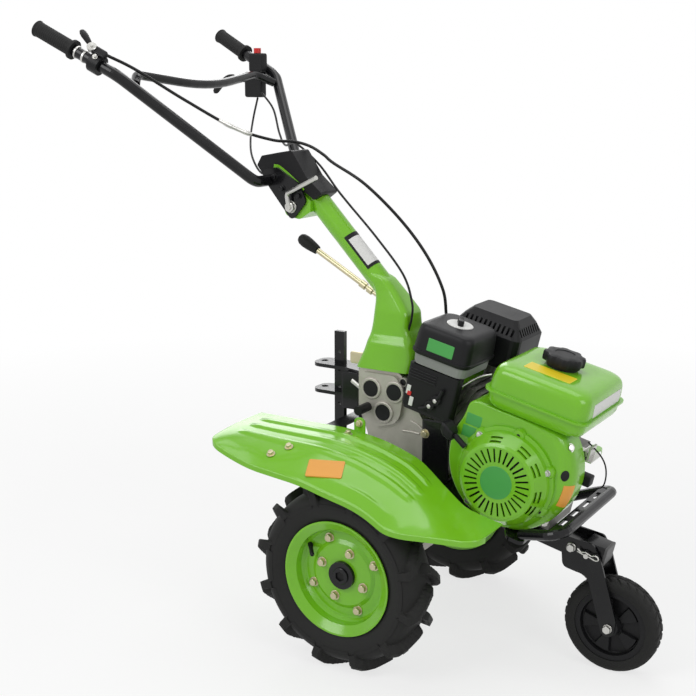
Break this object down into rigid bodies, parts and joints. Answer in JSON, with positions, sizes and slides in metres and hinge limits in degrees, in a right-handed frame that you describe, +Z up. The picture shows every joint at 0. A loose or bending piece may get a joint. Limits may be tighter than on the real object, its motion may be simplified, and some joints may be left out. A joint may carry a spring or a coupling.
{
  "type": "garden tiller",
  "caption": "Walk-behind petrol garden tiller on lugged drive wheels, with a swing-up front transport wheel, wing fenders and a tilting handlebar.",
  "frame": {"origin": "on the ground under the middle of the bounding box", "axes": "+X forward towards the front transport wheel, +Y to the machine's left, +Z up"},
  "size_m": [1.3328, 0.69, 1.3085],
  "materials": {
    "green_paint": "gloss lime green paint",
    "black_paint": "satin black powder coat",
    "black_plastic": "satin black moulding",
    "grey_plastic": "satin grey moulding",
    "red_plastic": "gloss red moulding",
    "cast_aluminium": "as cast, blasted",
    "zinc": "zinc plated steel",
    "rubber": "matt rubber",
    "tyre_rubber": "matt moulded rubber",
    "cable_sheath": "satin black sheath"
  },
  "bodies": {
    "chassis": {"gearbox_case": "cast_aluminium", "gearbox_plugs": "black_plastic", "hitch_bracket": "black_paint", "depth_bar": "black_paint", "handle_column": "green_paint", "column_head": "green_paint", "column_cover": "black_plastic", "fender_right": "green_paint", "fender_left": "green_paint", "fender_brackets": "black_paint", "engine_frame": "black_paint", "front_beam": "black_paint", "beam_cap": "grey_plastic", "front_bumper": "black_paint", "engine_block": "cast_aluminium", "fan_shroud": "green_paint", "starter_cover": "green_paint", "starter_pulley": "black_plastic", "starter_handle": "black_plastic", "fuel_tank": "green_paint", "fuel_cap": "black_plastic", "air_cleaner_cover": "black_plastic", "air_cleaner_base": "grey_plastic", "carburettor_cover": "black_plastic", "muffler_guard": "black_paint", "belt_cover": "green_paint", "governor_control": "zinc", "shift_lever": "zinc", "shift_knob": "black_plastic", "throttle_cable": "cable_sheath", "clutch_cable": "cable_sheath"},
    "handlebar": {"handle_bracket": "black_paint", "clamp_lever": "zinc", "handle_tube_right": "black_paint", "handle_tube_left": "black_paint", "cross_bar": "black_paint", "grips": "rubber", "hand_levers": "black_plastic", "switch_box": "black_plastic", "stop_button": "red_plastic", "switch_wire": "cable_sheath"},
    "front_fork": {"front_fork": "black_paint", "fork_pins": "zinc"},
    "front_wheel": {"front_wheel_rim": "black_plastic", "front_wheel_tyre": "tyre_rubber"},
    "drive_wheels": {"wheel_axle": "zinc", "wheel_hubs": "black_paint", "wheel_rims": "green_paint", "tyre_right": "tyre_rubber", "tyre_left": "tyre_rubber"}
  },
  "joints": [
    {"name": "drive_wheels_spin", "type": "hinge", "parent": "chassis", "child": "drive_wheels", "pos_m": [0.08837, 0, 0.2], "axis": [0, 1, 0], "continuous": true},
    {"name": "front_fork_lift", "type": "hinge", "parent": "chassis", "child": "front_fork", "pos_m": [0.48237, 0, 0.259], "axis": [0, -1, 0], "range_deg": [0, 74]},
    {"name": "front_wheel_spin", "type": "hinge", "parent": "front_fork", "child": "front_wheel", "pos_m": [0.56637, 0, 0.1], "axis": [0, 1, 0], "continuous": true},
    {"name": "handlebar_tilt", "type": "hinge", "parent": "chassis", "child": "handlebar", "pos_m": [-0.19363, 0, 0.911], "axis": [0, 1, 0], "range_deg": [-12, 18], "deforming": ["throttle_cable", "clutch_cable"]}
  ]
}
